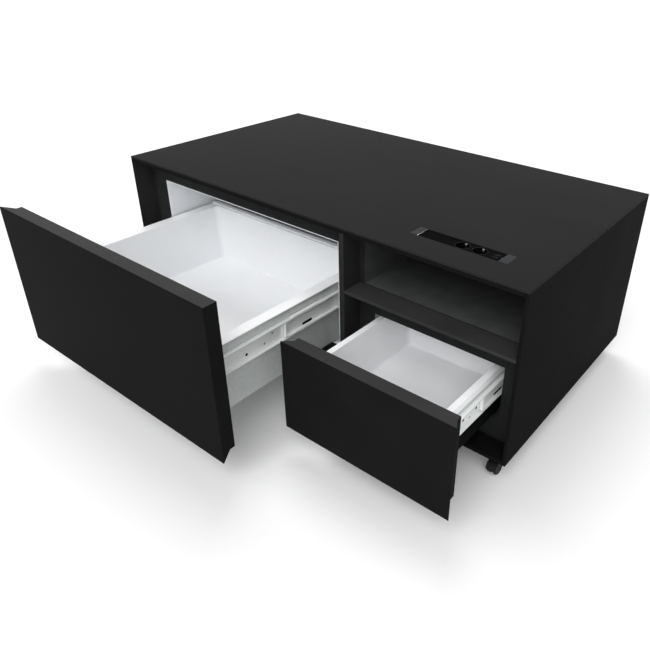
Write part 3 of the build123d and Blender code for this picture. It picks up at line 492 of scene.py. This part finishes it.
# The tub's lip behind its rear wall, its section drawn back and up from the wall's top edge
low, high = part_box("cold_drawer_tub")
lip_section = ((-3, -5), (11, -5), (12, -4), (12, 3.5), (10.5, 5), (-1.5, 5), (-3, 3.5))
lip_inset = 2
made = bmesh.new()
prism(made, [(low.x + lip_inset * MM, high.y + back * MM, high.z + rise * MM)
             for back, rise in lip_section], (high.x - low.x - 2 * lip_inset * MM, 0, 0))
bmesh.ops.recalc_face_normals(made, faces=made.faces)
round_over(place_piece(made, "tub_rear_lip", body_of["cold_drawer_tub"], "white_tub_plastic"), 0.6)


def screw_head(made, place, turn, radius, height):
    """Add a pan head with a cross recess; it stands on the given place, turned to its axis."""
    edge_ring = 0.9  # the grid's points past this make the round edge
    arm_half, arm_reach = 0.1, 0.75  # of the radius
    recess_depth, skirt_depth = 0.6, 0.4  # of the height
    head = bmesh.new()
    bmesh.ops.create_grid(head, x_segments=5, y_segments=5, size=1)
    for vert in head.verts:
        reach = max(abs(vert.co.x), abs(vert.co.y))
        if reach > edge_ring:
            vert.co = vert.co.normalized() * radius * MM
        else:
            vert.co *= radius * MM
            vert.co.z = height * MM * (1 - reach * reach)
    cross = []
    for face in head.faces:
        middle = face.calc_center_median()
        if (min(abs(middle.x), abs(middle.y)) < arm_half * radius * MM
                and middle.length < (arm_reach * radius + height) * MM):
            cross.append(face)
    recess = bmesh.ops.extrude_face_region(head, geom=cross)["geom"]
    bmesh.ops.delete(head, geom=cross, context="FACES")
    bmesh.ops.translate(head, vec=(0, 0, -recess_depth * height * MM), verts=only(BMVert, recess))
    rim = [edge for edge in head.edges if edge.is_boundary
           and all(vert.co.z < hair / 10 for vert in edge.verts)]
    skirt = bmesh.ops.extrude_edge_only(head, edges=rim)["geom"]
    bmesh.ops.translate(head, vec=(0, 0, -skirt_depth * height * MM), verts=only(BMVert, skirt))
    bmesh.ops.transform(head, matrix=Matrix.Translation(place) @ turn, verts=head.verts)
    bmesh.ops.recalc_face_normals(head, faces=head.faces)
    spare = bpy.data.meshes.new("spare")
    head.to_mesh(spare)
    head.free()
    made.from_mesh(spare)
    bpy.data.meshes.remove(spare)


facing_back = Matrix.Rotation(radians(-90), 4, "X")
facing_right = Matrix.Rotation(radians(90), 4, "Y")
facing_left = Matrix.Rotation(radians(-90), 4, "Y")

# Slides: each member is a strip rolled to its section, with round bends that carry a bright line
slide_sheet = 1.2
half_sheet = slide_sheet / 2
slide_bend = 1.4
bend_steps = 4
drawer_reach = 10.9
drawer_lip = 1.5
middle_offset = 2.0
middle_reach = 10.5
hole_sides = 16
hole_margin = 4
hole_lip = 0.5

# Round holes of the drawer members and slots of the middle ones: each one's place from the slide's front
# end, height over its middle, radius, and how far it is stretched
member_holes = {"cold": ((76, -11, 4, 0), (430, -11, 4, 0)), "store": ((40, -4, 4, 0), (93, -4, 4, 0))}
member_slots = {"cold": ((72, -14, 4, 28),), "store": ((72, -12.6, 4, 28),)}

# Discs of painted shade behind them, for the dark inside: how far in each lies, and how thick it is
hole_shade_level, hole_shade_thickness = 0.3, 0.4
slot_shade_level, slot_shade_thickness = 2.5, 0.8


def folded(corners):
    """Points along a section, with a round bend at each of its inner corners."""
    corners = [Vector(corner) for corner in corners]
    path = corners[:1]
    for before, corner, after in zip(corners, corners[1:], corners[2:]):
        back = (before - corner).normalized() * slide_bend
        on = (after - corner).normalized() * slide_bend
        for step in range(bend_steps + 1):
            turn = step / bend_steps * tau / 4
            path.append(corner + back + on - on * cos(turn) - back * sin(turn))
    return path + corners[-1:]


def rolled_member(node, corners, reach, holes):
    """Both strips of a slide member, rolled to a section and punched with its holes."""
    low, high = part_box(node)
    middle = (low.z + high.z) / 2
    made = bmesh.new()
    for hand, wall in ((-1, low.x + reach * MM), (1, high.x - reach * MM)):
        rim = [made.verts.new((wall + hand * x * MM, low.y, middle + z * MM))
               for x, z in folded(corners)]
        edges = [made.edges.new(pair) for pair in zip(rim, rim[1:])]
        stops = sorted(place * MM + side * (radius + stretch / 2 + hole_margin) * MM
                       for place, height, radius, stretch in holes for side in (-1, 1))
        for stop in stops + [high.y - low.y]:
            grown = bmesh.ops.extrude_edge_only(made, edges=edges)["geom"]
            for vert in only(BMVert, grown):
                vert.co.y = low.y + stop
            edges = only(BMEdge, grown)
        for place, height, radius, stretch in holes:
            at = Vector((wall, low.y + place * MM, middle))
            face = min(made.faces, key=lambda face: (face.calc_center_median() - at).length)
            sides = face.edges[:]
            reach_y = max(abs(vert.co.y - at.y) for vert in face.verts)
            reach_z = max(abs(vert.co.z - middle) for vert in face.verts)
            bmesh.ops.delete(made, geom=[face], context="FACES_ONLY")
            cut = bmesh.ops.subdivide_edges(made, edges=sides, cuts=hole_sides // 4 - 1)["geom"]
            filled = bmesh.ops.edgeloop_fill(made, edges=only(BMEdge, cut))["faces"]
            bmesh.ops.inset_region(made, faces=filled, thickness=hole_lip * MM)
            for vert in filled[0].verts:
                along = (vert.co.y - at.y) / reach_y
                rise = vert.co.z - middle - height * MM
                up = rise / (reach_z - copysign(height * MM, rise * height))
                turn = atan2(up, along)
                vert.co.y = at.y + (radius * cos(turn) + copysign(stretch / 2, along)) * MM
                vert.co.z = middle + (height + radius * sin(turn)) * MM
            bmesh.ops.delete(made, geom=filled, context="FACES_ONLY")
    bmesh.ops.recalc_face_normals(made, faces=made.faces)
    for face in made.faces:
        face.smooth = True
    piece = place_piece(made, node + "_rolled", body_of[node], slot_of[node])
    thicken(piece, slide_sheet)
    flats = piece.modifiers.new("flats", "WEIGHTED_NORMAL")
    flats.weight = 100
    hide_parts(node)


def painted_shade_discs(name, node, reach, level, thickness, holes):
    """Painted shade behind the holes and slots of a member: near-black discs that stand for the dark
    inside.
    """
    low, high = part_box(node)
    made = bmesh.new()
    for hand, wall in ((-1, low.x + reach * MM), (1, high.x - reach * MM)):
        for place, height, radius, stretch in holes:
            at = Vector((wall + hand * level * MM, low.y + place * MM,
                         (low.z + high.z) / 2 + height * MM))
            disc = bmesh.ops.create_cone(made, cap_ends=True, segments=hole_sides,
                                         radius1=radius * MM - hair, radius2=radius * MM - hair,
                                         depth=thickness * MM,
                                         matrix=Matrix.Translation(at) @ facing_right)
            for vert in disc["verts"]:
                vert.co.y += copysign(stretch / 2 * MM, vert.co.y - at.y)
    place_piece(made, name, body_of[node], "socket_plastic")


for drawer in ("cold", "store"):
    low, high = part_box(drawer + "_slide_drawer")
    outer = (high.z - low.z) / 2 / MM - half_sheet
    rise = outer - half_sheet - drawer_lip
    tip = drawer_reach - half_sheet
    rolled_member(drawer + "_slide_drawer",
                  ((tip, -rise), (tip, -outer), (half_sheet, -outer),
                   (half_sheet, outer), (tip, outer), (tip, rise)), drawer_reach, member_holes[drawer])
    painted_shade_discs(drawer + "_hole_painted_shade", drawer + "_slide_drawer", drawer_reach,
                 hole_shade_level, hole_shade_thickness, member_holes[drawer])
    low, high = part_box(drawer + "_slide_middle")
    outer = (high.z - low.z) / 2 / MM - half_sheet
    web = middle_offset + half_sheet
    rolled_member(drawer + "_slide_middle", ((middle_reach, -outer), (web, -outer), (web, outer),
                                             (middle_reach, outer)), middle_reach, member_slots[drawer])
    painted_shade_discs(drawer + "_slot_painted_shade", drawer + "_slide_middle", middle_reach,
                 slot_shade_level, slot_shade_thickness, member_slots[drawer])

# A nylon guide bar on each upper flange of the large drawer's slides, from and to these places in depth
guide_start, guide_end = -259, -168
guide_width, guide_height = 8.2, 2.6
guide_inset = 4.2
low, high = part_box("cold_slide_drawer")
made = bmesh.new()
for x in (low.x + guide_inset * MM, high.x - guide_inset * MM):
    block(made, (x, (guide_start + guide_end) / 2 * MM, high.z + guide_height / 2 * MM),
          (guide_width * MM, (guide_end - guide_start) * MM, guide_height * MM))
piece = place_piece(made, "guide_bars", body_of["cold_slide_drawer"], "white_tub_plastic", nylon_finish)
round_over(piece, 1.1)

# Stops at the front ends of the middle members: C-shaped, so that the fixed members pass between their
# arms when the drawers are shut
stop_front, stop_bar, stop_back = -7.5, -4.6, 2.5
stop_outside, stop_inside = 0.6, 8.2
stop_play = 0.3
fixed_play = 0.4
for drawer in ("cold", "store"):
    node = drawer + "_slide_middle"
    low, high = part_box(node)
    fixed_low, fixed_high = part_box(drawer + "_slide_fixed")
    outer = (high.z - low.z) / 2 / MM - slide_sheet - stop_play
    inner = (fixed_high.z - fixed_low.z) / 2 / MM + fixed_play
    section = ((stop_front, -outer), (stop_back, -outer), (stop_back, -inner), (stop_bar, -inner),
               (stop_bar, inner), (stop_back, inner), (stop_back, outer), (stop_front, outer))
    made = bmesh.new()
    for start in (low.x + stop_outside * MM, high.x - stop_inside * MM):
        prism(made, [(start, low.y + along * MM, (low.z + high.z) / 2 + rise * MM)
                     for along, rise in section], ((stop_inside - stop_outside) * MM, 0, 0))
    bmesh.ops.recalc_face_normals(made, faces=made.faces)
    piece = place_piece(made, drawer + "_slide_stops", body_of[node], "white_tub_plastic", nylon_finish)
    round_over(piece, 0.5)

# Screws that hold the drawer members to the boxes, flush with the web because the cages run close by:
# each one's place from the slide's front end and height over its middle
slide_screws = {"cold": ((131, -9), (157, 8)), "store": ((66, -12), (130, -12))}
flush_radius, flush_height, flush_sink = 3.0, 0.17, 0.02
for drawer in ("cold", "store"):
    node = drawer + "_slide_drawer"
    low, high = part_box(node)
    made = bmesh.new()
    for hand, wall, turn in ((-1, low.x + drawer_reach * MM, facing_left),
                             (1, high.x - drawer_reach * MM, facing_right)):
        for place, rise in slide_screws[drawer]:
            screw_head(made, (wall + hand * (slide_sheet - flush_sink) * MM, low.y + place * MM,
                              (low.z + high.z) / 2 + rise * MM), turn, flush_radius, flush_height)
    place_piece(made, drawer + "_slide_screws", body_of[node], "zinc_plated_steel", screw_finish)

# Balls of the slides, held in the windows of their cages
ball_radius = 1.85
balls_in_row = 4
ball_pitch = 20
cage_edge = 0.5
row_insets = (("front", 3.5), ("rear", 2.5))
for drawer in ("cold", "store"):
    for part, inset in row_insets:
        node = drawer + "_" + part + "_cages"
        low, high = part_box(node)
        made = bmesh.new()
        for x in (low.x + inset * MM, high.x - inset * MM):
            for z in (low.z + cage_edge * MM, high.z - cage_edge * MM):
                for step in range(balls_in_row):
                    y = (low.y + high.y) / 2 + (step - (balls_in_row - 1) / 2) * ball_pitch * MM
                    bmesh.ops.create_icosphere(made, subdivisions=2, radius=ball_radius * MM,
                                               matrix=Matrix.Translation((x, y, z)))
        for face in made.faces:
            face.smooth = True
        place_piece(made, drawer + "_" + part + "_balls", body_of[node], "cage_steel", ball_finish)

# Screws of the back panel, close to its edge, with none where the grille is
low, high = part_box("back_panel")
grille_low, grille_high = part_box("vent_grille")
screws_in_row = 7
panel_screw = 4.0
screw_rise = 0.9
screw_from_edge = 7
row_length = high.x - low.x - 2 * screw_from_edge * MM
made = bmesh.new()
for step in range(screws_in_row):
    x = low.x + screw_from_edge * MM + step / (screws_in_row - 1) * row_length
    for z in (low.z + screw_from_edge * MM, high.z - screw_from_edge * MM):
        if z > grille_high.z or not grille_low.x < x < grille_high.x:
            screw_head(made, (x, high.y - panel_inset * MM, z), facing_back, panel_screw, screw_rise)
place_piece(made, "back_screws", body_of["back_panel"], "zinc_plated_steel", screw_finish)

# Bellows of the cold drawer's gasket: a ring that is drawn back from the panel, with three ribs round it
low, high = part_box("gasket")
rib_depth = 2.4
gasket_width = 10
ribs = 3
made = bmesh.new()
ring = made.faces.new([made.verts.new((x, low.y, z)) for x, z in (
    (low.x, low.z), (high.x, low.z), (high.x, high.z), (low.x, high.z))])
ring.normal_update()
bmesh.ops.inset_region(made, faces=[ring], thickness=gasket_width * MM, use_boundary=True,
                       use_even_offset=True)
bmesh.ops.delete(made, geom=[ring], context="FACES_ONLY")
walls = bmesh.ops.extrude_face_region(made, geom=made.faces[:])["geom"]
for vert in only(BMVert, walls):
    vert.co.y = high.y
bmesh.ops.recalc_face_normals(made, faces=made.faces)
across = [edge for edge in made.edges if abs(edge.verts[0].co.y - edge.verts[1].co.y) > close_by]
bmesh.ops.subdivide_edges(made, edges=across, cuts=2 * ribs - 1, use_grid_fill=False)
centre = (low + high) / 2
half = (high - low) / 2
for vert in made.verts:
    level = round((vert.co.y - low.y) / (high.y - low.y) * 2 * ribs)
    if level % 2:
        flat = vert.co - centre
        outside = abs(abs(flat.x) - half.x) < close_by or abs(abs(flat.z) - half.z) < close_by
        push = (-rib_depth if outside else rib_depth) * MM
        if abs(abs(flat.x) - half.x) < gasket_width * MM + close_by:
            vert.co.x += copysign(push, push * flat.x)
        if abs(abs(flat.z) - half.z) < gasket_width * MM + close_by:
            vert.co.z += copysign(push, push * flat.z)
piece = place_piece(made, "gasket_bellows", body_of["gasket"], "gasket_rubber")
round_over(piece, 0.5)
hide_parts("gasket")

# Wheels of the casters: two dished wheels on each axle. The profile's points are their distance from the
# axle and from the wheel's middle.
wheel_profile = ((2.6, 4.2), (10.0, 4.2), (15.2, 4.6), (17.2, 5.0), (18.0, 6.4), (18.0, 11.0),
                 (16.6, 12.7), (14.4, 12.9), (13.2, 12.0), (7.0, 11.2), (5.2, 12.4), (2.6, 12.4))
wheel_steps = 40
axle_radius = 2.45
axle_sides = 20
axle_inset = 0.3
for corner in ("front_left", "front_right", "rear_left", "rear_right"):
    node = "caster_wheels_" + corner
    low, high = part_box(node)
    made = bmesh.new()
    for side in (-1, 1):
        rim = [made.verts.new((side * x * MM, 0, radius * MM)) for radius, x in wheel_profile]
        edges = [made.edges.new(pair) for pair in zip(rim, rim[1:])]
        bmesh.ops.spin(made, geom=rim + edges, cent=(0, 0, 0), axis=(1, 0, 0), angle=tau,
                       steps=wheel_steps, use_merge=True)
    bmesh.ops.create_cone(made, cap_ends=True, segments=axle_sides, radius1=axle_radius * MM,
                          radius2=axle_radius * MM, depth=high.x - low.x - 2 * axle_inset * MM,
                          matrix=facing_right)
    bmesh.ops.remove_doubles(made, verts=made.verts, dist=0.002 * MM)
    bmesh.ops.recalc_face_normals(made, faces=made.faces)
    bmesh.ops.translate(made, vec=(low + high) / 2, verts=made.verts)
    for face in made.faces:
        face.smooth = True
    piece = place_piece(made, node + "_treaded", body_of[node], "caster_plastic", tread_finish)
    round_over(piece, 0.3, sharper_than=50)
    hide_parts(node)

# A bright bead along the inner edge of each end cap of the strip
low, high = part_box("strip_caps")
face_low, face_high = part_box("strip_face")
bead = 0.55
bead_sink = 0.05
bead_inset = 0.8
bead_sides = 12
made = bmesh.new()
for x in (face_low.x - bead * MM, face_high.x + bead * MM):
    bmesh.ops.create_cone(made, cap_ends=True, segments=bead_sides, radius1=bead * MM,
                          radius2=bead * MM, depth=high.y - low.y - 2 * bead_inset * MM,
                          matrix=Matrix.Translation((x, (low.y + high.y) / 2,
                                                     high.z - (bead + bead_sink) * MM)) @ facing_back)
for face in made.faces:
    face.smooth = len(face.verts) == 4
place_piece(made, "cap_beads", body_of["strip_caps"], "bright_cap_metal", bead_finish)

# The contact springs in the sockets' pin holes, at their places from the strip's left end
low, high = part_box("strip_body")
strip_middle = (low.y + high.y) / 2
strip_play = 0.2
strip_left = low.x - strip_play * MM
socket_places = (128, 172)
pin_offset = 9.5
contact_top, contact_foot, contact_length = 1.9, 2.4, 4
contact_level = 10
contact_sides = 16
made = bmesh.new()
for place in socket_places:
    for side in (-1, 1):
        x = strip_left + (place + side * pin_offset) * MM
        bmesh.ops.create_cone(made, cap_ends=False, segments=contact_sides,
                              radius1=contact_foot * MM, radius2=contact_top * MM,
                              depth=contact_length * MM,
                              matrix=Matrix.Translation((x, strip_middle, low.z + contact_level * MM)))
place_piece(made, "socket_contacts", body_of["strip_body"], "bright_cap_metal", contact_finish)

# Round each socket a plated ring
ring_radius = 17.5
ring_wire = 0.45
ring_steps = 40
wire_sides = 8
made = bmesh.new()
for place in socket_places:
    centre = Vector((strip_left + place * MM, strip_middle, face_high.z))
    wire = bmesh.ops.create_circle(made, segments=wire_sides, radius=ring_wire * MM,
                                   matrix=Matrix.Translation(centre + Vector((ring_radius * MM, 0, 0)))
                                   @ facing_back)["verts"]
    edges = [edge for edge in made.edges if all(vert in wire for vert in edge.verts)]
    bmesh.ops.spin(made, geom=wire + edges, cent=centre, axis=(0, 0, 1), angle=tau,
                   steps=ring_steps, use_merge=True)
bmesh.ops.recalc_face_normals(made, faces=made.faces)
for face in made.faces:
    face.smooth = True
place_piece(made, "socket_rings", body_of["strip_face"], "bright_cap_metal")

# The two springs of each socket's earth contact. The section's points are their distance from the
# socket's middle and their depth under the strip's face.
spring_section = ((16.6, -1.5), (15.0, -3.5), (14.4, -8.0), (15.8, -12.5))
spring_width = 5
spring_sheet = 0.6
made = bmesh.new()
for place in socket_places:
    for side in (-1, 1):
        x = strip_left + (place - spring_width / 2) * MM
        rim = [made.verts.new((x, strip_middle + side * out * MM, face_high.z + depth * MM))
               for out, depth in spring_section]
        edges = [made.edges.new(pair) for pair in zip(rim, rim[1:])]
        grown = bmesh.ops.extrude_edge_only(made, edges=edges)["geom"]
        bmesh.ops.translate(made, vec=(spring_width * MM, 0, 0), verts=only(BMVert, grown))
thicken(place_piece(made, "earth_springs", body_of["strip_body"], "bright_cap_metal", screw_finish),
        spring_sheet)

# The tongues of the charging ports
low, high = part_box("usb_shells")
port_offset = 6
tongue_width, tongue_thickness = 10.6, 1.9
tongue_gap = 4
tongue_sink = 1.4
made = bmesh.new()
for side in (-1, 1):
    block(made, ((low.x + high.x) / 2, strip_middle + side * port_offset * MM,
                 (low.z + high.z) / 2 - tongue_sink * MM),
          (tongue_width * MM, tongue_thickness * MM, high.z - low.z - tongue_gap * MM))
piece = place_piece(made, "usb_tongues", body_of["usb_shells"], "socket_plastic", tongue_finish)
round_over(piece, 0.3)


def background_rays(tree):
    """1 where the background is seen by the camera, in a reflection or through glass, else 0."""
    path = add(tree, "LightPath").outputs
    level = path["Is Camera Ray"]
    for kind in ("Is Glossy Ray", "Is Transmission Ray"):
        level = add(tree, "Math", {0: level, 1: path[kind]}, operation="MAXIMUM").outputs["Value"]
    return level


# Floor: white paper that keeps the object's shadow, lifted a little where it is seen. It reaches this
# many metres to each side.
floor_reach = 40
floor_drop = 0.2
paper_lift = 0.05
floor_mesh = bpy.data.meshes.new("floor")
made = bmesh.new()
bmesh.ops.create_grid(made, x_segments=1, y_segments=1, size=floor_reach)
made.to_mesh(floor_mesh)
made.free()
floor = bpy.data.objects.new("floor", floor_mesh)
floor.location.z = -floor_drop * MM
bpy.context.scene.collection.objects.link(floor)
paper, tree = blank("studio_paper")
lift = add(tree, "Math", {0: background_rays(tree), 1: paper_lift}, operation="MULTIPLY")
glow = add(tree, "Emission", {"Color": linear("#ffffff"), "Strength": lift.outputs["Value"]})
matt = add(tree, "BsdfDiffuse", {"Color": linear("#f4f4f4")})
both = add(tree, "AddShader", {0: matt.outputs["BSDF"], 1: glow.outputs["Emission"]})
add(tree, "OutputMaterial", {"Surface": both.outputs["Shader"]})
floor_mesh.materials.append(paper)

# Soft studio light: a white surround, a broad lamp from the front that reaches into the tubs, and a
# weaker one from the back left, which lays the shadow down on the right. Each lamp has the way that its
# light goes, its strength and its spread in degrees.
fill_level = 0.57
lamps = {"front_lamp": ((-0.35, 0.9, -1), 1.7, 50), "side_lamp": ((0.33, -0.25, -1), 0.8, 24)}
world = bpy.data.worlds.new("studio")
bpy.context.scene.world = world
world.use_nodes = True
tree = world.node_tree
tree.nodes.clear()
fill = add(tree, "Background", {"Color": linear("#ffffff"), "Strength": fill_level})
white = add(tree, "Background", {"Color": linear("#ffffff"), "Strength": 1.0})
sky = add(tree, "MixShader", {0: background_rays(tree), 1: fill.outputs["Background"],
                              2: white.outputs["Background"]})
add(tree, "OutputWorld", {"Surface": sky.outputs["Shader"]})

for name, (towards, level, spread) in lamps.items():
    light = bpy.data.lights.new(name, "SUN")
    light.energy = level
    light.angle = radians(spread)
    holder = bpy.data.objects.new(name, light)
    bpy.context.scene.collection.objects.link(holder)
    holder.rotation_euler = Vector(towards).to_track_quat("-Z", "Y").to_euler()

camera_data = bpy.data.cameras.new("camera")
camera_data.sensor_width = sensor_mm
camera_data.lens = focal_px / frame_px * sensor_mm
camera_data.shift_x = 0.5 - centre_px[0] / frame_px
camera_data.shift_y = centre_px[1] / frame_px - 0.5
camera = bpy.data.objects.new("camera", camera_data)
bpy.context.scene.collection.objects.link(camera)
axes = Matrix((camera_right, -Vector(camera_down), -Vector(camera_ahead))).transposed()
camera.matrix_world = Matrix.Translation(camera_place) @ axes.to_4x4()
bpy.context.scene.camera = camera
bpy.context.scene.view_settings.view_transform = "Standard"
